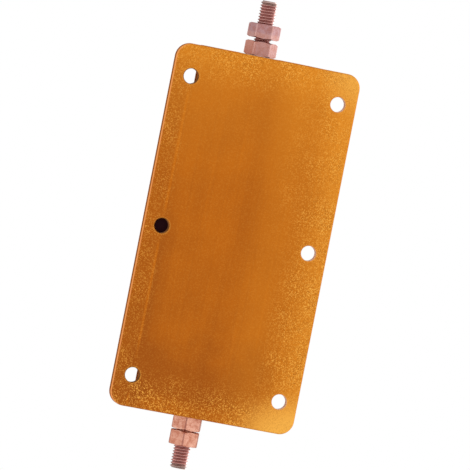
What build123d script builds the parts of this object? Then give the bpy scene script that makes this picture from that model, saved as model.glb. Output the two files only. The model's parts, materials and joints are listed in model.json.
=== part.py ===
"""Power resistor: a wound ceramic element in a finned aluminium housing, with a screw terminal at each end.

The housing lies along X and stands on its base at Z = 0, with the base's middle at the origin.
Sizes are in millimetres.
"""

import os
from math import cos, pi, radians, tan

from build123d import *

# Housing, across its length
bore_diameter = 24.0
bore_floor = 10.5
bore_roof = 7.5
bore_chamfer = 0.5
core_wall = 2.5
fin_depth = 5.0
groove_count = 8
groove_width = 2.6
fin_tip_radius = 0.6
crown_thickness = 3.9
crown_inset = 3.0
crown_radius = 2.2
shoulder_drop = 17.0
base_thickness = 3.0
base_edge_radius = 0.6

# Base plate and its screw holes
hole_diameter = 5.2
hole_pitch_x = 52.0
hole_columns = 3
hole_to_fin = 6.5
hole_to_side = 6.5
hole_to_end = 11.0
hole_chamfer = 0.35
base_corner_radius = 5.0
base_chamfer = 0.4

# Terminal studs and nuts
stud_diameter = 6.0
stud_reach = 19.3
stud_tip_chamfer = 0.6
stud_head_diameter = 11.0
stud_head_thickness = 2.0
nut_sides = 6
nut_across_flats = 9.8
nut_height = 5.0
nut_clearance = 0.05
nut_chamfer_angle = 30.0
outer_nut_start = 6.2

# How each nut is turned about its stud, and how far each inner nut stands off its bush
inner_nut_turn = {"right": -6.9, "left": -16.6}
outer_nut_turn = {"right": -10.8, "left": -17.7}
inner_nut_slack = {"right": 0.0, "left": 0.6}

# Insulating bushes
bush_length = 12.0
bush_clearance = 0.05
bush_boss_diameter = 14.0
bush_boss_height = 0.8
bush_proud = 0.05

# Resistance element and its filling
filling_wall = 4.0
filling_clearance = 0.1
former_bore = 6.0
cap_wall = 0.8
cap_end_thickness = 1.2
cap_skirt = 9.0
cap_clearance = 0.05
winding_clearance = 0.05
winding_inset = 0.1
winding_end_gap = 0.3

# Sizes that follow from the ones above
bore_radius = bore_diameter / 2
axis_height = bore_floor + bore_radius
body_height = bore_floor + bore_diameter + bore_roof
core_half_width = bore_radius + core_wall
body_half_width = core_half_width + fin_depth
crown_half_width = body_half_width - crown_inset
groove_length = fin_depth + groove_width
groove_span = body_height - crown_thickness - base_thickness - groove_width
groove_pitch = groove_span / (groove_count - 1)
groove_middle = base_thickness + groove_width / 2 + groove_span / 2
hole_pitch_y = 2 * (body_half_width + hole_to_fin)
base_width = hole_pitch_y + 2 * hole_to_side
base_length = (hole_columns - 1) * hole_pitch_x + 2 * hole_to_end
bush_inner_face = bush_proud - bush_length
cap_outer_face = bush_inner_face - stud_head_thickness
former_end = cap_outer_face - cap_end_thickness
former_length = base_length + 2 * former_end
filling_radius = bore_radius - bush_clearance
filling_bore_radius = filling_radius - filling_wall
cap_radius = filling_bore_radius - filling_clearance
cap_bore_radius = cap_radius - cap_wall
former_radius = cap_bore_radius - cap_clearance
winding_radius = cap_radius - winding_inset

# The two ends, by the sign of X
ends = {"right": 1, "left": -1}


def end_plane(side):
    """The plane across one end of the housing, centred on the bore and facing out."""
    return Plane(origin=(side * base_length / 2, 0, axis_height), x_dir=(0, side, 0), z_dir=(side, 0, 0))


def section_plane(side):
    """The upright plane along the bore: its X is the radius, its Y the distance out from the end."""
    return Plane(origin=(side * base_length / 2, 0, axis_height), x_dir=(0, 0, 1), z_dir=(0, side, 0))


def bore_axis(side):
    """The axis of the bore, pointing out of one end."""
    return Axis((side * base_length / 2, 0, axis_height), (side, 0, 0))


# Housing: a finned extrusion, cut to length, with its base rounded at the corners and drilled
with BuildPart() as housing:
    with BuildSketch(Plane.YZ) as profile:
        with BuildLine():
            Polyline(
                (0, 0),
                (base_width / 2, 0),
                (base_width / 2, base_thickness),
                (body_half_width, base_thickness),
                (body_half_width, body_height - shoulder_drop),
            )
            TangentArc(
                (body_half_width, body_height - shoulder_drop),
                (crown_half_width, body_height),
                tangent=(0, 1),
            )
            Line((crown_half_width, body_height), (0, body_height))
            mirror(about=Plane.YZ)
        make_face()
        with Locations((0, groove_middle)):
            with GridLocations(2 * core_half_width + groove_length, groove_pitch, 2, groove_count):
                SlotOverall(groove_length, groove_width, mode=Mode.SUBTRACT)
        with Locations((0, axis_height)):
            Circle(bore_radius, mode=Mode.SUBTRACT)
        crown_corners = profile.vertices().group_by(Axis.Y)[-1]
        side_groups = profile.vertices().group_by(Axis.X)
        base_corners = [side_groups[side].sort_by(Axis.Y)[-1] for side in (0, -1)]
        fin_corners = [
            corner
            for corner in profile.vertices()
            if abs(corner.X) > core_half_width + groove_width
            and base_thickness + groove_width / 2 < corner.Y < body_height - crown_thickness / 2
        ]
        fillet(crown_corners, crown_radius)
        fillet(base_corners, base_edge_radius)
        fillet(fin_corners, fin_tip_radius)
    extrude(amount=base_length / 2, both=True)
    with BuildSketch():
        RectangleRounded(base_length, base_width, base_corner_radius)
    extrude(amount=body_height, mode=Mode.INTERSECT)
    with GridLocations(hole_pitch_x, hole_pitch_y, hole_columns, 2):
        Hole(hole_diameter / 2)
    base_face = housing.faces().sort_by(Axis.Z)[0]
    chamfer(base_face.outer_wire().edges(), base_chamfer)
    base_face = housing.faces().sort_by(Axis.Z)[0]
    chamfer([rim.edge() for rim in base_face.inner_wires()], hole_chamfer)
    for end_face in (housing.faces().sort_by(Axis.X)[0], housing.faces().sort_by(Axis.X)[-1]):
        chamfer(end_face.inner_wires()[0].edge(), bore_chamfer)

# Filling: the hard compound round the element, between the two bushes
with BuildPart() as filling:
    with BuildSketch(Plane.YZ):
        with Locations((0, axis_height)):
            Circle(filling_radius)
            Circle(filling_bore_radius, mode=Mode.SUBTRACT)
    extrude(amount=base_length / 2 + bush_inner_face, both=True)

# Former: the ceramic tube that carries the winding
with BuildPart() as ceramic_former:
    with BuildSketch(Plane.YZ):
        with Locations((0, axis_height)):
            Circle(former_radius)
            Circle(former_bore / 2, mode=Mode.SUBTRACT)
    extrude(amount=former_length / 2, both=True)

# Winding: the layer of tightly wound wire on the former, from cap to cap
with BuildPart() as resistance_winding:
    with BuildSketch(Plane.YZ):
        with Locations((0, axis_height)):
            Circle(winding_radius)
            Circle(former_radius + winding_clearance, mode=Mode.SUBTRACT)
    extrude(amount=former_length / 2 - cap_skirt - winding_end_gap, both=True)


def make_end_cap(side):
    """A metal cup pressed over one end of the former."""
    with BuildPart() as end_cap:
        with BuildSketch(end_plane(side).offset(former_end - cap_skirt)):
            Circle(cap_radius)
        extrude(amount=cap_skirt + cap_end_thickness)
        with BuildSketch(end_plane(side).offset(former_end - cap_skirt)):
            Circle(cap_bore_radius)
        extrude(amount=cap_skirt, mode=Mode.SUBTRACT)
    return end_cap.part


def make_bush(side):
    """An insulating bush with a boss that stands out of the bore for the inner nut to bear on."""
    rim_face = bush_proud - bush_boss_height
    with BuildPart() as bush:
        with BuildSketch(section_plane(side)):
            with BuildLine():
                Polyline(
                    (stud_diameter / 2 + bush_clearance, bush_inner_face),
                    (bore_radius - bush_clearance, bush_inner_face),
                    (bore_radius - bush_clearance, rim_face),
                    (bush_boss_diameter / 2, rim_face),
                    (bush_boss_diameter / 2, bush_proud),
                    (stud_diameter / 2 + bush_clearance, bush_proud),
                    close=True,
                )
            make_face()
        revolve(axis=bore_axis(side))
    return bush.part


def make_terminal_stud(side):
    """A stud with a round head that is welded to the end cap; its thread starts at the tip's chamfer."""
    radius = stud_diameter / 2
    with BuildPart() as terminal_stud:
        with BuildSketch(section_plane(side)):
            with BuildLine():
                Polyline(
                    (0, cap_outer_face),
                    (stud_head_diameter / 2, cap_outer_face),
                    (stud_head_diameter / 2, bush_inner_face),
                    (radius, bush_inner_face),
                    (radius, stud_reach - stud_tip_chamfer),
                    (radius - stud_tip_chamfer, stud_reach),
                    (0, stud_reach),
                    close=True,
                )
            make_face()
        revolve(axis=bore_axis(side))
    return terminal_stud.part


def make_nut(side, start, turn):
    """A hexagon nut, chamfered on both faces, that starts at a distance out from the housing's end."""
    bore = stud_diameter / 2 + nut_clearance
    flat_radius = nut_across_flats / 2
    corner_radius = flat_radius / cos(pi / nut_sides)
    chamfer_depth = (corner_radius - flat_radius) * tan(radians(nut_chamfer_angle))
    with BuildPart() as nut:
        with BuildSketch(end_plane(side).offset(start)):
            RegularPolygon(flat_radius, nut_sides, major_radius=False, rotation=turn)
        extrude(amount=nut_height)
        with BuildSketch(section_plane(side)):
            with BuildLine():
                Polyline(
                    (bore, start),
                    (flat_radius, start),
                    (corner_radius, start + chamfer_depth),
                    (corner_radius, start + nut_height - chamfer_depth),
                    (flat_radius, start + nut_height),
                    (bore, start + nut_height),
                    close=True,
                )
            make_face()
        revolve(axis=bore_axis(side), mode=Mode.INTERSECT)
    return nut.part


pieces = {
    "housing": housing.part,
    "filling": filling.part,
    "ceramic_former": ceramic_former.part,
    "resistance_winding": resistance_winding.part,
}
for end_name, side in ends.items():
    inner_nut_start = bush_proud + inner_nut_slack[end_name]
    pieces[f"end_cap_{end_name}"] = make_end_cap(side)
    pieces[f"insulating_bush_{end_name}"] = make_bush(side)
    pieces[f"terminal_stud_{end_name}"] = make_terminal_stud(side)
    pieces[f"inner_nut_{end_name}"] = make_nut(side, inner_nut_start, inner_nut_turn[end_name])
    pieces[f"outer_nut_{end_name}"] = make_nut(side, outer_nut_start, outer_nut_turn[end_name])

os.makedirs("parts", exist_ok=True)
for piece_name, piece in pieces.items():
    piece.label = piece_name
    export_step(piece, f"parts/{piece_name}.step")
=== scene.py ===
"""Looks of a power resistor in a gold-anodised, finned aluminium housing with a screw terminal at each end.

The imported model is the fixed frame. The housing and the inner element keep their own meshes and get their
finishes here; the threaded studs, the hexagon nuts and the bushes are modelled here in their places.
"""

import json
from math import atan2, cos, hypot, pi, radians, sin, tan

import bmesh
import bpy
from bpy.props import FloatProperty, FloatVectorProperty, IntProperty, PointerProperty
from mathutils import Matrix, Vector


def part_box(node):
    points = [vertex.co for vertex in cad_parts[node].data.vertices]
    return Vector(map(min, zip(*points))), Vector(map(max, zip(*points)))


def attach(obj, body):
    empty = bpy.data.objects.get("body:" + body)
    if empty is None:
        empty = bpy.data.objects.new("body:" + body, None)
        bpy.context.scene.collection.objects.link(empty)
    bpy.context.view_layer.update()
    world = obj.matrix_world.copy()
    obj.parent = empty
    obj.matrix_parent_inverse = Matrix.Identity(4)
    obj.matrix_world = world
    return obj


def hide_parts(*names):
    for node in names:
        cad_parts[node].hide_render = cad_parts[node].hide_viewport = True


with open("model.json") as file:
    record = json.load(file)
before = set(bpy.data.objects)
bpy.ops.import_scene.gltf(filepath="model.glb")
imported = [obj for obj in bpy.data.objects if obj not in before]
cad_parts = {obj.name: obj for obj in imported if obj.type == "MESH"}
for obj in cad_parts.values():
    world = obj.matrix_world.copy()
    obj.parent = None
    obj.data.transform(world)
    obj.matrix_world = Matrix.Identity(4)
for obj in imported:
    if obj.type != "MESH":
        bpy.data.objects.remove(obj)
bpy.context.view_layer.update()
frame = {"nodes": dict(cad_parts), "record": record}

bl_info = {
    "name": "Housed Power Resistor",
    "version": (1, 0, 0),
    "blender": (4, 5, 0),
    "location": "View3D > Sidebar > Resistor",
    "description": "Models the terminals of a housed power resistor and gives its parts their finishes",
    "category": "Object",
}

MM = 0.001
SIDES = {"right": 1, "left": -1}

# Modelling: facets of round pieces, distances for merging points, and angles for smoothing and rounding edges
FINE_FACETS = 96
SMALL_FACETS = 64
NUT_SIDES = 6
MERGE_DISTANCE = 0.002 * MM
SLIVER_SIZE = 0.001 * MM
THREAD_MERGE_DISTANCE = 0.005 * MM
SMOOTH_ANGLE = radians(30)
THREAD_SMOOTH_ANGLE = radians(38)
NUT_EDGE_ANGLE = radians(40)
BUSH_EDGE_ANGLE = radians(60)
EDGE_SEGMENTS = 2

# Studs: the turn of each thread about its axis, the rounding of the head, the turns of thread that are cut off
# at each end, and how far the blank that trims the thread stays clear of its crests
THREAD_TURN = {"right": radians(83), "left": radians(200)}
HEAD_EDGE = 0.2 * MM
SPARE_TURNS = 2
BLANK_CLEARANCE = 0.03 * MM

# Nuts: the height of the countersink's cutter, as a multiple of the countersink
CONE_HEIGHT = 1.5

# Places for the finishes, in millimetres: the rounding of the base's corners, a point just outside one of them,
# the die lines beside the body, and the middle of the gap between the left nuts
BASE_CORNER = 5.0
CORNER_X, CORNER_Y = 64.0, 33.0
LEFT_DIE_LINE, RIGHT_DIE_LINE = -26.0, 23.6
LEFT_NUT_GAP = -68.9

# Stage: the floor, the dark card of painted shade behind one screw hole, the lamps and the camera
FLOOR_SIZE, FLOOR_CELLS, FLOOR_DROP, FLOOR_REACH = 8.0, 8, 0.0002, 1.2
CARD_RADIUS, CARD_FACETS, CARD_REACH = 3.2 * MM, 32, 1.0
CARD_PLACE = (0, -25.8 * MM, 3.1 * MM)
CARD_SHADE_TONE = (0.035, 0.011, 0.015)
LAMPS = {
    "overhead_lamp": {"place": (0.5, 0.8, 1.0), "width": 0.9, "power": 9.0},
    "fill_lamp": {"place": (-0.6, -0.9, 0.7), "width": 0.7, "power": 2.5},
}
SENSOR_WIDTH = 36.0
PICTURE_SHIFT_X, PICTURE_SHIFT_Y = -0.17 * MM, 1.58 * MM
VIEW_END = 20.0


def size(name, description, millimetres):
    """A length that a user may change, given in millimetres."""
    return FloatProperty(
        name=name, description=description, default=millimetres * MM, min=0.0, precision=5,
        subtype="DISTANCE", unit="LENGTH",
    )


def angle(name, description, degrees):
    """An angle that a user may change, given in degrees."""
    return FloatProperty(name=name, description=description, default=radians(degrees), subtype="ANGLE")


def colour(name, description, rgb):
    """A linear colour that a user may change."""
    return FloatVectorProperty(
        name=name, description=description, default=rgb, size=3, min=0.0, max=1.0, subtype="COLOR",
    )


def level(name, description, value):
    """A brightness that a user may change."""
    return FloatProperty(name=name, description=description, default=value)


def node_middle(node):
    """The middle of a CAD node's box."""
    low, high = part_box(node)
    return (low + high) / 2


def inner_end(node, side):
    """Where the axis of a CAD node at one end of the housing meets the face that is turned to the middle."""
    low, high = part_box(node)
    middle = node_middle(node)
    return (low.x if side > 0 else high.x, middle.y, middle.z)


class TerminalSizes(bpy.types.PropertyGroup):
    """Sizes of the studs, nuts and bushes that the frame does not give."""

    thread_pitch: size("Thread pitch", "Distance between two crests of the stud's thread", 1.0)
    thread_depth: size("Thread depth", "Height of the thread from root to crest", 0.6)
    thread_steps: IntProperty(
        name="Thread steps", description="Facets in one turn of the thread", default=48, min=12,
    )
    tip_chamfer: size("Tip chamfer", "Chamfer at the stud's outer end", 0.6)
    head_thickness: size("Head thickness", "Thickness of the round head inside the housing", 2.0)
    stud_diameter: size("Stud diameter", "Diameter over the thread's crests", 6.0)
    nut_chamfer: angle("Nut chamfer", "Slope of the chamfers on both faces of a nut", 30.0)
    nut_bore: size("Nut bore", "Diameter of a nut's hole", 6.1)
    nut_countersink: size("Nut countersink", "Width of the countersink at each mouth of a nut's hole", 0.45)
    nut_edge: size("Nut edge", "Width of the rounding on a nut's edges", 0.14)
    boss_diameter: size("Boss diameter", "Diameter of the bush's raised middle", 14.0)
    boss_height: size("Boss height", "Height of the bush's raised middle", 0.8)
    bush_bore: size("Bush bore", "Diameter of the hole that the stud passes through", 6.1)
    bush_edge: size("Bush edge", "Width of the rounding on the bush's edges", 0.3)


class FinishColours(bpy.types.PropertyGroup):
    """Colours of the resistor's finishes."""

    gold: colour("Gold", "Anodised aluminium, where the dye is thin", (0.625, 0.168, 0.0065))
    gold_deep: colour("Deep gold", "Anodised aluminium, where the dye is deepest", (0.385, 0.093, 0.006))
    # Painted sheen towards two sides of the base, and a painted highlight in two of its corners
    gold_sheen: colour("Light gold", "Towards the lighter edges of the base", (0.775, 0.265, 0.018))
    gold_glare: colour("Pale gold", "The palest corners of the base", (0.97, 0.47, 0.074))
    # Bright grains, and a painted highlight on the hole rims of the base
    gold_grain_and_glint: colour("Grain gold", "Bright grains and deburred holes of the base", (0.96, 0.46, 0.075))
    # Painted highlight along one edge of the base
    gold_rim_highlight: colour("Rim gold", "Worn edge along one side of the base", (0.93, 0.37, 0.12))
    # Dark grains, and painted shade on the base's rim and hole walls
    gold_shadow: colour("Gold shadow", "Dark grains, edges and hole walls of the base", (0.18, 0.04, 0.003))
    # Painted pale reflection on the hole walls of one side
    wall_reflection_tone: colour("Bare metal", "Hole walls that the screws have rubbed pale", (0.86, 0.6, 0.45))
    copper: colour("Copper", "Dull copper of the right nuts", (0.5, 0.285, 0.29))
    copper_tarnish: colour("Tarnished copper", "Redder patches of the dull copper", (0.46, 0.21, 0.19))
    # Painted light: a lit copy of the right nuts' copper and its redder patches, for the left nuts
    copper_lit: colour("Fresh copper", "Brighter copper of the left nuts", (0.83, 0.45, 0.33))
    copper_lit_tarnish: colour("Flushed copper", "Redder patches of the fresh copper", (0.6, 0.24, 0.155))
    # Painted shade in the threads' roots and at the left nuts' edges
    copper_shade: colour("Grime", "Dark film in the threads' roots and at the left nuts' edges", (0.27, 0.085, 0.075))
    # Painted highlight on the threads' crests and the right nuts' edges
    copper_highlight: colour("Worn copper", "Bright crests of the threads and edges of the right nuts", (0.88, 0.56, 0.51))
    copper_grey: colour("Grey copper", "Dull film at the studs' tips", (0.36, 0.3, 0.26))
    ceramic: colour("Ceramic", "Fired ceramic of the bushes and the former", (0.74, 0.71, 0.65))
    ceramic_stain: colour("Ceramic stain", "Warmer, darker areas of the ceramic", (0.55, 0.5, 0.43))
    cement: colour("Cement", "Hard filling round the element", (0.44, 0.43, 0.41))
    wire: colour("Wire", "Resistance wire of the winding", (0.36, 0.34, 0.32))
    cap: colour("Cap metal", "Pressed metal of the end caps", (0.6, 0.6, 0.58))


class StageSetup(bpy.types.PropertyGroup):
    """Camera, backdrop and floor."""

    view_tilt: angle("View tilt", "Lean of the view across the housing, from straight up at its base", 10.8)
    view_swing: angle("View swing", "Lean of the view along the housing", 1.96)
    view_roll: angle("View roll", "Turn of the picture about the line of sight", 11.16)
    view_distance: size("View distance", "From the camera to the middle of the base", 2000.0)
    lens: FloatProperty(
        name="Lens", description="Focal length on a 36 mm sensor", default=447.66, subtype="DISTANCE_CAMERA",
    )
    backdrop: level("Backdrop", "Brightness of the white backdrop", 1.0)
    ceiling: level("Ceiling", "Brightness overhead, as metal reflects it", 0.3)
    window: level("Window", "Extra light from one side, as metal reflects it", 0.3)
    ambient: level("Ambient", "Brightness of the light from all round", 0.75)
    floor_tone: colour("Floor", "Pale floor that the resistor stands on", (0.82, 0.82, 0.81))


class Shade:
    """A socket of a material's node tree; arithmetic on it adds Math nodes to the tree."""

    def __init__(self, tree, socket=None):
        self.tree = tree
        self.socket = socket

    def node(self, kind, settings=None, inputs=None, output=0):
        """Adds a node, sets it up, fills its sockets with values or links, and gives one of its outputs."""
        made = self.tree.nodes.new("ShaderNode" + kind)
        for name, value in (settings or {}).items():
            setattr(made, name, value)
        for name, value in (inputs or {}).items():
            if isinstance(value, Shade):
                self.tree.links.new(value.socket, made.inputs[name])
            else:
                made.inputs[name].default_value = value
        return Shade(self.tree, made.outputs[output] if made.outputs else None)

    def math(self, operation, *values):
        return self.node("Math", {"operation": operation}, dict(enumerate(values)))

    def __add__(self, other):
        return self.math("ADD", self, other)

    __radd__ = __add__

    def __sub__(self, other):
        return self.math("SUBTRACT", self, other)

    def __rsub__(self, other):
        return self.math("SUBTRACT", other, self)

    def __mul__(self, other):
        return self.math("MULTIPLY", self, other)

    __rmul__ = __mul__

    def __abs__(self):
        return self.math("ABSOLUTE", self)

    def least(self, other):
        return self.math("MINIMUM", self, other)

    def most(self, other):
        return self.math("MAXIMUM", self, other)

    def length(self, other):
        """The length of the vector whose two parts are this value and another."""
        return self.math("SQRT", self * self + other * other)

    def step(self, low, high):
        """0 up to low, 1 from high, and smooth between; falls instead where low is the greater."""
        settings = {"interpolation_type": "SMOOTHSTEP"}
        ends = {1: min(low, high), 2: max(low, high), 3: float(low > high), 4: float(low < high)}
        return self.node("MapRange", settings, {0: self, **ends})

    def mix(self, first, second):
        """The first colour where this value is 0 and the second where it is 1."""
        first, second = (c if isinstance(c, Shade) else (*c, 1.0) for c in (first, second))
        return self.node("Mix", {"data_type": "RGBA"}, {0: self, 6: first, 7: second}, 2)

    def parts(self):
        """The three parts of a vector."""
        split = self.node("SeparateXYZ", inputs={0: self}).socket.node
        return [Shade(self.tree, part) for part in split.outputs]

    def stretched(self, *scale):
        """A vector with each part multiplied."""
        return self.node("VectorMath", {"operation": "MULTIPLY"}, {0: self, 1: scale})

    def turned(self, turn, *scale):
        """A vector with each part multiplied, and then turned about Z."""
        return self.node("Mapping", None, {"Vector": self, "Rotation": (0, 0, turn), "Scale": scale})

    def noise(self, scale, detail=2.0, roughness=0.5):
        """Noise at this place, from 0 to 1."""
        settings = {"Vector": self, "Scale": scale, "Detail": detail, "Roughness": roughness}
        return self.node("TexNoise", None, settings)

    def grains(self, scale):
        """A random value from 0 to 1 for each grain, at this place."""
        cell = self.node("TexVoronoi", None, {"Vector": self, "Scale": scale}, "Color")
        return cell.parts()[0]


class Finish:
    """A new material with a Principled shader, and the place on the piece in millimetres to drive it."""

    def __init__(self, name, **constants):
        self.material = bpy.data.materials.new(name)
        self.material.use_nodes = True
        tree = self.material.node_tree
        self.shader = tree.nodes["Principled BSDF"]
        self.start = Shade(tree)
        for socket, value in constants.items():
            self.shader.inputs[socket.replace("_", " ").title()].default_value = value
        at = self.start.node("TexCoord", output="Object")
        self.place = self.start.node("Mapping", None, {"Vector": at, "Scale": (1 / MM,) * 3})

    def facing(self):
        """The three parts of the surface's normal."""
        return self.start.node("TexCoord", output="Normal").parts()

    def set(self, socket, value):
        self.start.tree.links.new(value.socket, self.shader.inputs[socket])

    def bump(self, height, distance):
        """Raises the surface where height, from 0 to 1, is high, by a distance in millimetres."""
        self.set("Normal", self.start.node("Bump", None, {"Height": height, "Distance": distance * MM}))


def gold_anodising(colours):
    """Dyed satin anodising: die lines along the housing, saw marks on its ends, and grains on its base, with painted
    sheen, highlights and shade on the base and its hole walls.
    """
    finish = Finish(
        "gold_anodising", metallic=1.0, specular_tint=(0.95, 0.7, 0.45, 1.0),
        coat_weight=0.08, coat_roughness=0.3,
    )
    place = finish.place
    x, y, z = place.parts()
    inset, holes = edge_inset(x, y), hole_distance(x, y)
    under = z.step(0.6, 0.2)
    sawn = abs(finish.facing()[0]).step(0.85, 0.97)
    streaks = place.stretched(0.012, 1.1, 1.1).noise(1.0, 4.0, 0.65)
    saw_marks = place.stretched(0.0, 0.05, 2.5).noise(1.0, 2.0, 0.6)
    lines = streaks + sawn * (saw_marks - streaks)
    bands = place.stretched(0.012, 0.09, 0.09).noise(1.0, 2.0)
    clouds = place.noise(0.055, 3.0)
    patches = place.noise(0.11, 2.0)
    grain = place.noise(2.2, 2.0, 0.6)
    speck = place.grains(4.2)

    # Dye: uneven all over; on the base, die lines beside the body with a darker band beside the left one, painted
    # shade along one side, and darker towards the left end
    ragged = (clouds - 0.5) * 24.0
    foot = (x - y * 0.15 + ragged).step(-30.0, -46.0) * (y + ragged).step(26.0, 4.0)
    foot = foot * (0.1 + inset.step(2.0, 8.0) * 0.9) * 0.25
    die_line = abs(y - LEFT_DIE_LINE).step(0.6, 0.2) * holes.step(3.5, 8.0) * 0.22
    die_line = die_line + abs(y - RIGHT_DIE_LINE).step(0.5, 0.2) * 0.08
    die_shade = y.step(-18.5, -24.5) * y.step(-26.2, -25.4) * x.step(24.0, -14.0) * 0.17
    # Painted shade along the -Y side of the base
    shaded_flank = y.step(-22.0, -29.0) * (0.05 + x.step(10.0, -40.0) * 0.13 + x.step(20.0, 45.0) * 0.12)
    band = abs(y + 1.0).step(13.0, 2.0)
    marks = (die_line - die_shade - shaded_flank - foot - band * 0.02) * under
    dye_and_shade = (clouds * 0.35 + bands * 0.22 + lines * 0.25 + grain * 0.18 + marks).step(0.1, 0.88)
    tone = dye_and_shade.mix(colours.gold_deep, colours.gold)

    # Painted sheen: lighter gold on the base towards its +Y side and the right end, and a painted highlight of pale
    # gold in that side's corners
    side_sheen = y.step(0.0, 14.0) * 0.25 + y.step(18.0, 33.0) * 0.6
    head_sheen = (x.step(10.0, 58.0) * 0.38 + x.step(48.0, 64.0) * 0.5) * (1.0 - band * 0.15)
    foot_corner_glare = ((x + CORNER_X) * 1.25).length((y - CORNER_Y) * 0.85).step(22.0, 5.0)
    head_corner_glare = (x - CORNER_X).length(y - CORNER_Y).step(18.0, 4.0) * 0.65
    pale_side_sheen = y.step(24.0, 33.0) * 0.07
    tone = ((side_sheen + head_sheen) * under).least(1.0).mix(tone, colours.gold_sheen)
    tone = ((foot_corner_glare + head_corner_glare + pale_side_sheen) * under).least(1.0).mix(tone, colours.gold_glare)

    # Dark and bright grains, densest along the edges of the base; the hole rims, bare from deburring, with a painted
    # highlight; and scuffs near the corners
    rough = (y.step(-23.0, -29.0) * 0.4).most(x.step(-47.0, -60.0) * (1.0 - band * 0.25))
    rough = rough.most(x.step(48.0, 62.0) * 0.85)
    rough = rough.most(y.step(14.0, 24.0) * (0.6 + x.step(0.0, -30.0) * 0.2))
    rough = rough.most(y.step(22.0, 30.0) * (0.68 + x.step(45.0, 10.0) * 0.32))
    rough = rough.most(y.step(8.0, 17.0) * x.step(-5.0, 25.0) * 0.28)
    uneven = 0.4 + patches.step(0.35, 0.65) * 0.6
    frosting = (0.105 + rough * uneven) * (1.0 - foot_corner_glare * 0.35) * under
    near_corner = (abs(x) - CORNER_X).length(abs(y) - CORNER_Y).step(26.0, 8.0)
    scuffs = place.turned(0.7, 0.04, 1.4, 1.0).noise(1.0, 3.0, 0.7).step(0.62, 0.72) * near_corner * under
    # Painted highlight on the hole rims, which are bare from deburring
    deburred_glint = holes.step(3.2, 2.85) * under
    bright = speck.step(0.72, 0.86) * frosting + deburred_glint * 0.35 + scuffs * 0.25
    tone = (speck.step(0.5, 0.0) * frosting * 0.45).mix(tone, colours.gold_shadow)
    tone = bright.least(1.0).mix(tone, colours.gold_grain_and_glint)

    # The rim of the base, with a painted highlight on one side and painted shade elsewhere, and the hole walls, with
    # painted shade on one side and a painted pale reflection on the other
    rim_highlight_side = y.step(-27.0, -32.0)
    tone = (inset.step(0.45, 0.2) * (1.0 - rim_highlight_side) * under * 0.3).mix(tone, colours.gold_shadow)
    tone = (inset.step(0.55, 0.25) * rim_highlight_side * under * 0.8).mix(tone, colours.gold_rim_highlight)
    wall = holes.step(2.7, 2.63)
    painted_pale_wall = wall * y.step(-1.0, 1.0)
    tone = ((wall - painted_pale_wall) * 0.8).mix(tone, colours.gold_shadow)
    finish.set("Base Color", painted_pale_wall.mix(tone, colours.wall_reflection_tone))
    finish.set("Metallic", 1.0 - painted_pale_wall)
    finish.set("Roughness", 0.38 + grain * 0.1 + sawn * 0.06)
    finish.bump(grain * 0.4 + lines * 0.4 + speck * under * 0.2, 0.012)
    return finish.material


def edge_inset(x, y):
    """How far a place on the base is from the base's outline, in millimetres."""
    _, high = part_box("housing")
    across = abs(y) - (high.y / MM - BASE_CORNER)
    along = abs(x) - (high.x / MM - BASE_CORNER)
    return BASE_CORNER - across.most(0.0).length(along.most(0.0)) - across.most(along).least(0.0)


def hole_distance(x, y):
    """How far a place on the base is from the middle of the nearest screw hole, in millimetres."""
    mounts = {mount["name"]: mount for mount in frame["record"]["mounts"]}
    grid = mounts["corner_screw_holes"]["dims"]
    pitch = grid["spacing_x_mm"] / 2
    folded = x.math("WRAP", x, pitch / 2, -pitch / 2)
    return folded.length(abs(y) - grid["spacing_y_mm"] / 2)


def bare_copper(name):
    """Copper with patches of tarnish: its finish, the place along and across, the reach from the axis, and marks."""
    finish = Finish(name, metallic=1.0)
    x, y, z = finish.place.parts()
    axis = node_middle("terminal_stud_right").z / MM
    reach = y.length(z - axis)
    patches = finish.place.noise(0.55, 4.0, 0.65)
    grain = finish.place.noise(3.0, 3.0, 0.6)
    tarnish = (patches * 0.7 + grain * 0.3).step(0.4, 0.62)
    finish.set("Roughness", 0.36 + tarnish * 0.1 + grain * 0.06)
    return finish, x, y, reach, tarnish, grain


def thread_copper(colours):
    """Copper of the studs, with painted shade in the thread's roots and lower flanks, painted highlights on its
    crests, dull tips, and painted light in the gap between the left nuts.
    """
    finish, x, _, reach, tarnish, grain = bare_copper("thread_copper")
    # Painted shade on the flanks facing -X, and a painted highlight on the crests
    shaded = finish.facing()[0].step(0.3, -0.3)
    crest = reach.step(2.3, 2.7) * (1.0 - shaded * 0.65) * (1.0 - tarnish * 0.2)
    tip = abs(x).step(80.4, 81.4)
    # Painted light on the thread in the gap between the left nuts, where shade falls
    gap_light = abs(x - LEFT_NUT_GAP).step(0.9, 0.5)
    tone = crest.mix(colours.copper_shade, colours.copper_highlight)
    tone = (tip * 0.6).mix(tone, colours.copper_grey)
    finish.set("Base Color", gap_light.mix(tone, colours.copper_lit))
    finish.bump(grain, 0.004)
    return finish.material


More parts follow.
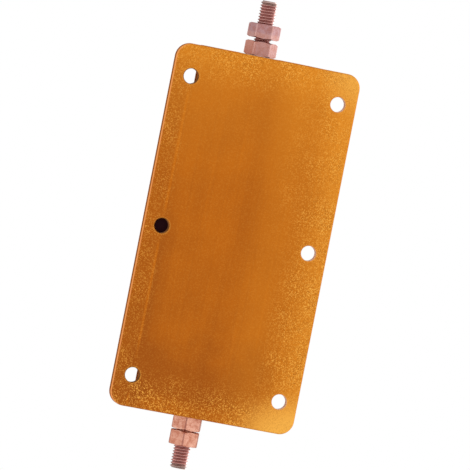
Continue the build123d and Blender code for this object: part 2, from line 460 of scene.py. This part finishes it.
def nut_copper(colours):
    """Copper of the nuts: dull with painted highlights on the edges at the right end, and a painted lit copy with
    painted shade on the edges at the left end.
    """
    finish, x, y, reach, tarnish, grain = bare_copper("nut_copper")
    right = x.step(-1.0, 1.0)
    # The left nuts take the painted lit copy of the copper; bare and dull differ by tarnish
    bare = right.mix(colours.copper_lit, colours.copper)
    dull = right.mix(colours.copper_lit_tarnish, colours.copper_tarnish)
    # Painted shade on the left nuts' corner edges, painted highlight on the right nuts' corner edges
    edge = right.mix(colours.copper_shade, colours.copper_highlight)
    # Painted light: the right inner nut partly towards the lit copy, with a redder patch on one face
    right_inner = right * x.step(71.5, 70.5)
    right_inner_face = right_inner * x.step(69.0, 67.5) * y.step(-2.2, -3.6)
    left_outer_face = x.step(-68.5, -69.5) * y.step(0.3, -0.3)
    corners = reach.step(5.46, 5.58) * (0.6 - right * 0.2)
    # Painted light on the nut faces in the gap between the left nuts, where shade falls
    gap_light = abs(x - LEFT_NUT_GAP).step(0.6, 0.35)
    tone = tarnish.mix(bare, dull)
    tone = (right_inner * 0.28).mix(tone, colours.copper_lit)
    tone = (right_inner_face * 0.6).mix(tone, colours.copper_lit_tarnish)
    tone = (left_outer_face * 0.35).mix(tone, colours.copper_lit_tarnish)
    tone = corners.mix(tone, edge)
    finish.set("Base Color", gap_light.mix(tone, colours.copper_lit))
    turning = finish.place.stretched(0.2, 1.0, 1.0).noise(2.0, 3.0)
    finish.bump(grain * 0.5 + turning * 0.5, 0.012)
    return finish.material


def fired_ceramic(colours):
    """Matt off-white ceramic with fine pores and faint stains."""
    finish = Finish("fired_ceramic")
    stains = finish.place.noise(0.25, 4.0, 0.6)
    pores = finish.place.grains(2.2).step(0.9, 1.0)
    grain = finish.place.noise(2.5, 3.0)
    stained = (stains.step(0.42, 0.75) * 0.6 + pores * 0.4).least(1.0)
    finish.set("Base Color", stained.mix(colours.ceramic, colours.ceramic_stain))
    finish.set("Roughness", 0.55 + grain * 0.2)
    finish.bump(grain - pores, 0.02)
    return finish.material


def hard_cement(colours):
    """Grey filling compound with sandy grains."""
    finish = Finish("hard_cement")
    sand = finish.place.grains(1.6)
    grain = finish.place.noise(1.2, 4.0, 0.7)
    dark = [c * 0.6 for c in colours.cement]
    finish.set("Base Color", (sand * 0.4 + grain * 0.6).mix(dark, colours.cement))
    finish.set("Roughness", 0.75 + grain * 0.2)
    finish.bump(grain * 0.6 + sand * 0.4, 0.06)
    return finish.material


def wound_wire(colours):
    """Resistance wire in tight turns along the former."""
    finish = Finish("wound_wire", metallic=1.0)
    x = finish.place.parts()[0]
    wire_radius = 0.25
    turns = x.math("PINGPONG", x, wire_radius) * (1 / wire_radius)
    scale = finish.place.noise(0.8, 3.0)
    dark = [c * 0.35 for c in colours.wire]
    finish.set("Base Color", (turns.step(0.0, 0.5) * (0.7 + scale * 0.3)).mix(dark, colours.wire))
    finish.set("Roughness", 0.35 + scale * 0.2)
    finish.bump(turns, 0.15)
    return finish.material


def pressed_metal(colours):
    """Plated sheet metal with draw lines along the axis."""
    finish = Finish("pressed_metal", metallic=1.0)
    draw_lines = finish.place.stretched(0.1, 2.0, 2.0).noise(1.5, 3.0)
    dull = finish.place.noise(0.5, 3.0)
    dark = [c * 0.7 for c in colours.cap]
    finish.set("Base Color", (draw_lines * 0.5 + dull * 0.5).mix(dark, colours.cap))
    finish.set("Roughness", 0.28 + dull * 0.2)
    finish.bump(draw_lines, 0.01)
    return finish.material


def one_way(name, tone, from_below, reach):
    """Matt paint that shows from one side only, is clear from the other, and fades out up to a distance."""
    material = bpy.data.materials.new(name)
    material.use_nodes = True
    tree = material.node_tree
    tree.nodes.clear()
    start = Shade(tree)
    behind = start.node("NewGeometry", output="Backfacing")
    matt = start.node("BsdfDiffuse", None, {"Color": (*tone, 1.0)})
    clear = start.node("BsdfTransparent")
    x, y, _ = start.node("TexCoord", output="Object").parts()
    hidden = (1.0 - behind if from_below else behind).most(x.length(y).step(reach / 4, reach))
    shader = start.node("MixShader", None, {0: hidden, 1: matt, 2: clear})
    start.node("OutputMaterial", None, {"Surface": shader})
    return material


def wear(piece, material):
    """Gives a piece one material."""
    piece.data.materials.clear()
    piece.data.materials.append(material)


def pick(piece, mode="OBJECT"):
    """Selects one piece alone and makes it active, in object or edit mode."""
    bpy.ops.object.select_all(action="DESELECT")
    piece.select_set(True)
    bpy.context.view_layer.objects.active = piece
    if mode == "EDIT":
        bpy.ops.object.mode_set(mode="EDIT")
        bpy.ops.mesh.select_all(action="DESELECT")


def choose(piece, test):
    """In edit mode, selects the faces of a piece that pass a test."""
    bpy.ops.mesh.select_mode(type="FACE")
    mesh = bmesh.from_edit_mesh(piece.data)
    for face in mesh.faces:
        face.select_set(test(face))
    mesh.select_flush_mode()
    bmesh.update_edit_mesh(piece.data)


def is_cap(face):
    """Whether a face is the round end of a bar, and not one of the quads along it."""
    return len(face.verts) > 4


def rod(name, radius, x_from, x_to, facets):
    """A round bar along X, as a start for a piece."""
    bpy.ops.object.select_all(action="DESELECT")
    bpy.ops.mesh.primitive_cylinder_add(
        vertices=facets, radius=radius, depth=abs(x_to - x_from),
        location=((x_from + x_to) / 2, 0, 0), rotation=(0, pi / 2, 0),
    )
    piece = bpy.context.object
    piece.name = name
    bpy.ops.object.transform_apply(location=True, rotation=True, scale=True)
    return piece


def draw_out(piece, side, step, ratio):
    """In edit mode, extrudes the round end of a bar along X by a step, and scales it by a ratio."""
    choose(piece, lambda face: is_cap(face) and face.normal.x * side > 0)
    bpy.ops.mesh.extrude_region_move(TRANSFORM_OT_translate={"value": (side * step, 0, 0)})
    bpy.ops.transform.resize(value=(1, ratio, ratio), center_override=(0, 0, 0))


def cut(piece, tool, operation):
    """Applies a boolean with another piece, which is then removed."""
    pick(piece)
    modifier = piece.modifiers.new("cut", "BOOLEAN")
    modifier.operation = operation
    modifier.solver = "EXACT"
    modifier.object = tool
    bpy.ops.object.modifier_apply(modifier=modifier.name)
    bpy.data.objects.remove(tool)


def clean(piece, sharp):
    """Merges doubles, turns the faces outwards, and smooths all but the edges sharper than an angle."""
    pick(piece, "EDIT")
    bpy.ops.mesh.select_all(action="SELECT")
    bpy.ops.mesh.remove_doubles(threshold=MERGE_DISTANCE)
    bpy.ops.mesh.dissolve_degenerate(threshold=SLIVER_SIZE)
    bpy.ops.mesh.normals_make_consistent(inside=False)
    bpy.ops.object.mode_set(mode="OBJECT")
    bpy.ops.object.shade_smooth_by_angle(angle=sharp)


def round_edges(piece, width, limit):
    """Rounds the edges of a piece that are sharper than an angle."""
    pick(piece)
    modifier = piece.modifiers.new("edges", "BEVEL")
    modifier.width = width
    modifier.segments = EDGE_SEGMENTS
    modifier.limit_method = "ANGLE"
    modifier.angle_limit = limit
    bpy.ops.object.modifier_apply(modifier=modifier.name)


def copy_to(piece, name, place, turn, flip=False):
    """A copy of a piece along X, turned about X, flipped end for end if asked, and moved into its place."""
    pick(piece)
    bpy.ops.object.duplicate(linked=False)
    copy = bpy.context.object
    copy.name = copy.data.name = name
    copy.matrix_world = (
        Matrix.Translation(place)
        @ Matrix.Rotation(pi if flip else 0.0, 4, "Z")
        @ Matrix.Rotation(turn, 4, "X")
    )
    bpy.ops.object.transform_apply(location=True, rotation=True, scale=True)
    return copy


def stands_for(piece, node, material):
    """Puts a piece in a CAD node's stead, with its finish."""
    wear(piece, material)
    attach(piece, "root")
    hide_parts(node)


def for_the_eye(piece):
    """Lets only the camera see a piece of the stage: it casts no shadow and shows in no reflection."""
    piece.visible_diffuse = piece.visible_glossy = False
    piece.visible_transmission = piece.visible_shadow = False


class RESISTOR_OT_housing(bpy.types.Operator):
    """Gives the finned housing its anodised finish"""

    bl_idname = "resistor.housing"
    bl_label = "Finish the housing"

    def execute(self, context):
        wear(frame["nodes"]["housing"], gold_anodising(context.scene.resistor_colours))
        return {"FINISHED"}


class RESISTOR_OT_studs(bpy.types.Operator):
    """Models a threaded stud with a round head, and puts one in each end"""

    bl_idname = "resistor.studs"
    bl_label = "Model the studs"

    def execute(self, context):
        sizes = context.scene.resistor_terminals
        low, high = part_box("terminal_stud_right")
        length = high.x - low.x
        radius, chamfer = sizes.stud_diameter / 2, sizes.tip_chamfer
        stud = self.thread(radius, sizes.thread_pitch, sizes.thread_depth, sizes.thread_steps, length)
        blank_radius, blank_end = radius + BLANK_CLEARANCE, length - chamfer - BLANK_CLEARANCE
        blank = rod("stud_blank", blank_radius, sizes.head_thickness / 2, blank_end, FINE_FACETS)
        pick(blank, "EDIT")
        draw_out(blank, 1, chamfer + BLANK_CLEARANCE, (radius - chamfer) / blank_radius)
        bpy.ops.object.mode_set(mode="OBJECT")
        clean(blank, SMOOTH_ANGLE)
        cut(stud, blank, "INTERSECT")
        head = rod("stud_head", (high.y - low.y) / 2, 0.0, sizes.head_thickness, SMALL_FACETS)
        round_edges(head, HEAD_EDGE, SMOOTH_ANGLE)
        cut(stud, head, "UNION")
        clean(stud, THREAD_SMOOTH_ANGLE)
        material = thread_copper(context.scene.resistor_colours)
        for end, side in SIDES.items():
            node = f"terminal_stud_{end}"
            copy = copy_to(stud, f"threaded_stud_{end}", inner_end(node, side), THREAD_TURN[end], side < 0)
            stands_for(copy, node, material)
        bpy.data.objects.remove(stud)
        return {"FINISHED"}

    def thread(self, radius, pitch, depth, steps, length):
        """A closed bar along X with a right-hand thread, and with spare turns before 0 and past its length."""
        root, rounding = radius - depth, 0.04 * depth
        outline = [
            (0.0, root), (0.09, root + rounding), (0.43, radius - rounding), (0.5, radius),
            (0.57, radius - rounding), (0.91, root + rounding), (1.0, root),
        ]
        bpy.ops.object.select_all(action="DESELECT")
        bpy.ops.mesh.primitive_plane_add(size=MM)
        piece = bpy.context.object
        piece.name = "stud_thread"
        pick(piece, "EDIT")
        bpy.ops.mesh.select_mode(type="VERT")
        bpy.ops.mesh.select_all(action="SELECT")
        bpy.ops.mesh.merge(type="CENTER")
        bpy.ops.transform.translate(value=(-SPARE_TURNS * pitch, 0, root))
        for (x_from, r_from), (x_to, r_to) in zip(outline, outline[1:]):
            step = ((x_to - x_from) * pitch, 0, r_to - r_from)
            bpy.ops.mesh.extrude_vertices_move(TRANSFORM_OT_translate={"value": step})
        bpy.ops.object.mode_set(mode="OBJECT")
        screw = piece.modifiers.new("thread", "SCREW")
        screw.axis = "X"
        screw.angle = 2 * pi
        screw.screw_offset = pitch
        screw.iterations = round(length / pitch) + 2 * SPARE_TURNS
        screw.steps = screw.render_steps = steps
        bpy.ops.object.modifier_apply(modifier=screw.name)
        pick(piece, "EDIT")
        bpy.ops.mesh.select_all(action="SELECT")
        bpy.ops.mesh.remove_doubles(threshold=THREAD_MERGE_DISTANCE)
        bpy.ops.mesh.fill_holes(sides=0)
        bpy.ops.mesh.select_all(action="SELECT")
        bpy.ops.mesh.normals_make_consistent(inside=False)
        bpy.ops.object.mode_set(mode="OBJECT")
        return piece


class RESISTOR_OT_nuts(bpy.types.Operator):
    """Models a chamfered hexagon nut, and puts two on each stud"""

    bl_idname = "resistor.nuts"
    bl_label = "Model the nuts"

    def execute(self, context):
        sizes = context.scene.resistor_terminals
        low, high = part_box("outer_nut_right")
        height = high.x - low.x
        corner = max(self.reach(vertex.co) for vertex in frame["nodes"]["outer_nut_right"].data.vertices)
        flat = corner * cos(pi / NUT_SIDES)
        rise = (corner - flat) * tan(sizes.nut_chamfer)
        nut = rod("nut", corner, -height / 2, height / 2, NUT_SIDES)
        blank = rod("nut_blank", corner, rise - height / 2, height / 2 - rise, FINE_FACETS)
        bore, mouth = sizes.nut_bore / 2, sizes.nut_countersink
        cone = mouth * CONE_HEIGHT
        drill = rod("nut_drill", bore, mouth - height / 2, height / 2 - mouth, SMALL_FACETS)
        for piece, step, ratio in ((blank, rise, flat / corner), (drill, cone, (bore + cone) / bore)):
            pick(piece, "EDIT")
            draw_out(piece, 1, step, ratio)
            draw_out(piece, -1, step, ratio)
            bpy.ops.object.mode_set(mode="OBJECT")
        cut(nut, blank, "INTERSECT")
        cut(nut, drill, "DIFFERENCE")
        clean(nut, SMOOTH_ANGLE)
        round_edges(nut, sizes.nut_edge, NUT_EDGE_ANGLE)
        clean(nut, SMOOTH_ANGLE)
        material = nut_copper(context.scene.resistor_colours)
        base_turn = self.turn(nut.data.vertices, Vector((0, 0, 0)))
        for end in SIDES:
            for row in ("inner", "outer"):
                node = f"{row}_nut_{end}"
                middle = node_middle(node)
                middle.z = node_middle(f"terminal_stud_{end}").z
                middle.y = 0.0
                turn = self.turn(frame["nodes"][node].data.vertices, middle) - base_turn
                copy = copy_to(nut, f"hex_nut_{row}_{end}", middle, turn)
                stands_for(copy, node, material)
        bpy.data.objects.remove(nut)
        return {"FINISHED"}

    @staticmethod
    def reach(point):
        """How far a point of the frame is from the studs' axis."""
        return hypot(point.y, point.z - node_middle("terminal_stud_right").z)

    @staticmethod
    def turn(vertices, middle):
        """The direction of a hexagon's farthest corner about X."""
        corner = max((vertex.co - middle for vertex in vertices), key=lambda arm: hypot(arm.y, arm.z))
        return atan2(corner.z, corner.y)


class RESISTOR_OT_bushes(bpy.types.Operator):
    """Models a stepped insulating bush, and puts one in each end of the bore"""

    bl_idname = "resistor.bushes"
    bl_label = "Model the bushes"

    def execute(self, context):
        sizes = context.scene.resistor_terminals
        low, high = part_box("insulating_bush_right")
        length, radius = high.x - low.x, (high.y - low.y) / 2
        boss, bore = sizes.boss_diameter / 2, sizes.bush_bore / 2
        bush = rod("bush", radius, 0.0, length - sizes.boss_height, FINE_FACETS)
        pick(bush, "EDIT")
        draw_out(bush, 1, 0.0, boss / radius)
        draw_out(bush, 1, sizes.boss_height, 1.0)
        draw_out(bush, 1, 0.0, bore / boss)
        draw_out(bush, -1, 0.0, bore / radius)
        choose(bush, is_cap)
        bpy.ops.mesh.bridge_edge_loops()
        bpy.ops.object.mode_set(mode="OBJECT")
        clean(bush, SMOOTH_ANGLE)
        round_edges(bush, sizes.bush_edge, BUSH_EDGE_ANGLE)
        clean(bush, SMOOTH_ANGLE)
        material = fired_ceramic(context.scene.resistor_colours)
        for end, side in SIDES.items():
            node = f"insulating_bush_{end}"
            copy = copy_to(bush, f"stepped_bush_{end}", inner_end(node, side), 0.0, side < 0)
            stands_for(copy, node, material)
        bpy.data.objects.remove(bush)
        return {"FINISHED"}


class RESISTOR_OT_element(bpy.types.Operator):
    """Gives the parts inside the bore their finishes"""

    bl_idname = "resistor.element"
    bl_label = "Finish the element"

    def execute(self, context):
        colours = context.scene.resistor_colours
        nodes = frame["nodes"]
        wear(nodes["filling"], hard_cement(colours))
        wear(nodes["ceramic_former"], fired_ceramic(colours))
        wear(nodes["resistance_winding"], wound_wire(colours))
        caps = pressed_metal(colours)
        for end in SIDES:
            wear(nodes[f"end_cap_{end}"], caps)
        return {"FINISHED"}


class RESISTOR_OT_stage(bpy.types.Operator):
    """Sets up the floor, the backdrop, the lamps and the camera"""

    bl_idname = "resistor.stage"
    bl_label = "Set up the stage"

    def execute(self, context):
        setup = context.scene.resistor_stage
        context.scene.view_settings.view_transform = "Standard"
        self.floor(setup)
        self.hole_shade_card()
        self.backdrop(context.scene, setup)
        for name, lamp in LAMPS.items():
            self.lamp(name, **lamp)
        self.camera(context.scene, setup)
        return {"FINISHED"}

    def floor(self, setup):
        """A wide pale floor just under the base, which only the camera sees, and only from above."""
        bpy.ops.object.select_all(action="DESELECT")
        bpy.ops.mesh.primitive_grid_add(
            x_subdivisions=FLOOR_CELLS, y_subdivisions=FLOOR_CELLS, size=FLOOR_SIZE, location=(0, 0, -FLOOR_DROP),
        )
        floor = bpy.context.object
        floor.name = "floor"
        for_the_eye(floor)
        wear(floor, one_way("studio_floor", setup.floor_tone, False, FLOOR_REACH))

    def hole_shade_card(self):
        """A small dark card over one middle screw hole, painted shade that shows only from below, through the hole.
        """
        bpy.ops.object.select_all(action="DESELECT")
        bpy.ops.mesh.primitive_circle_add(
            vertices=CARD_FACETS, radius=CARD_RADIUS, fill_type="NGON", location=CARD_PLACE,
        )
        card = bpy.context.object
        card.name = "hole_shade_card"
        for_the_eye(card)
        wear(card, one_way("hole_shade_card", CARD_SHADE_TONE, True, CARD_REACH))

    def backdrop(self, scene, setup):
        """White all round to the eye, dimmer overhead in reflections, and a plain level of soft light."""
        world = scene.world = bpy.data.worlds.new("studio_backdrop")
        world.use_nodes = True
        tree = world.node_tree
        tree.nodes.clear()
        start = Shade(tree)
        path = start.node("LightPath").socket.node.outputs
        eye, gloss, glass = (Shade(tree, path[f"Is {ray} Ray"]) for ray in ("Camera", "Glossy", "Transmission"))
        _, across, height = start.node("TexCoord", output="Generated").parts()
        dim = (height.step(0.5, 0.93) * (1 - setup.ceiling) - across.step(0.5, 0.95) * setup.window) * gloss
        light = start.node("Background", None, {"Color": (1, 1, 1, 1), "Strength": setup.ambient})
        white = start.node("Background", None, {"Color": (1, 1, 1, 1), "Strength": (1 - dim) * setup.backdrop})
        shader = start.node("MixShader", None, {0: eye.most(gloss).most(glass), 1: light, 2: white})
        start.node("OutputWorld", None, {"Surface": shader})

    def lamp(self, name, place, width, power):
        """A soft square lamp that points at the resistor and stays out of the picture."""
        bpy.ops.object.select_all(action="DESELECT")
        bpy.ops.object.light_add(type="AREA", location=place)
        lamp = bpy.context.object
        lamp.name = lamp.data.name = name
        lamp.rotation_euler = (-Vector(place)).to_track_quat("-Z", "Y").to_euler()
        lamp.data.size = width
        lamp.data.energy = power
        lamp.visible_camera = False

    def camera(self, scene, setup):
        """A camera below the base that looks up at it, at the angle of the photograph."""
        tilt, swing, roll = setup.view_tilt, setup.view_swing, setup.view_roll
        ahead = Vector((-sin(swing), sin(tilt) * cos(swing), cos(tilt) * cos(swing)))
        level_right = ahead.cross(Vector((1, 0, 0))).normalized()
        level_up = level_right.cross(ahead)
        right = cos(roll) * level_right + sin(roll) * level_up
        up = cos(roll) * level_up - sin(roll) * level_right
        bpy.ops.object.select_all(action="DESELECT")
        bpy.ops.object.camera_add()
        camera = bpy.context.object
        camera.name = camera.data.name = "photo_camera"
        place = right * PICTURE_SHIFT_X + up * PICTURE_SHIFT_Y - ahead * setup.view_distance
        camera.matrix_world = Matrix.Translation(place) @ Matrix((right, up, -ahead)).transposed().to_4x4()
        camera.data.sensor_width = SENSOR_WIDTH
        camera.data.lens = setup.lens
        camera.data.clip_end = VIEW_END
        scene.camera = camera


OPERATORS = (
    RESISTOR_OT_housing, RESISTOR_OT_studs, RESISTOR_OT_nuts,
    RESISTOR_OT_bushes, RESISTOR_OT_element, RESISTOR_OT_stage,
)
GROUPS = {
    "resistor_terminals": TerminalSizes,
    "resistor_colours": FinishColours,
    "resistor_stage": StageSetup,
}


class RESISTOR_PT_sidebar(bpy.types.Panel):
    """Lists the steps that dress the resistor, and their settings"""

    bl_idname = "RESISTOR_PT_sidebar"
    bl_label = "Housed power resistor"
    bl_space_type = "VIEW_3D"
    bl_region_type = "UI"
    bl_category = "Resistor"

    def draw(self, context):
        for operator in OPERATORS:
            self.layout.operator(operator.bl_idname)
        for name, group in GROUPS.items():
            box = self.layout.box()
            for setting in group.__annotations__:
                box.prop(getattr(context.scene, name), setting)


def register():
    for item in (*GROUPS.values(), *OPERATORS, RESISTOR_PT_sidebar):
        bpy.utils.register_class(item)
    for name, group in GROUPS.items():
        setattr(bpy.types.Scene, name, PointerProperty(type=group))


def unregister():
    for name in GROUPS:
        delattr(bpy.types.Scene, name)
    for item in (RESISTOR_PT_sidebar, *reversed(OPERATORS), *GROUPS.values()):
        bpy.utils.unregister_class(item)


def main():
    register()
    bpy.ops.resistor.housing()
    bpy.ops.resistor.studs()
    bpy.ops.resistor.nuts()
    bpy.ops.resistor.bushes()
    bpy.ops.resistor.element()
    bpy.ops.resistor.stage()


if __name__ == "__main__":
    main()
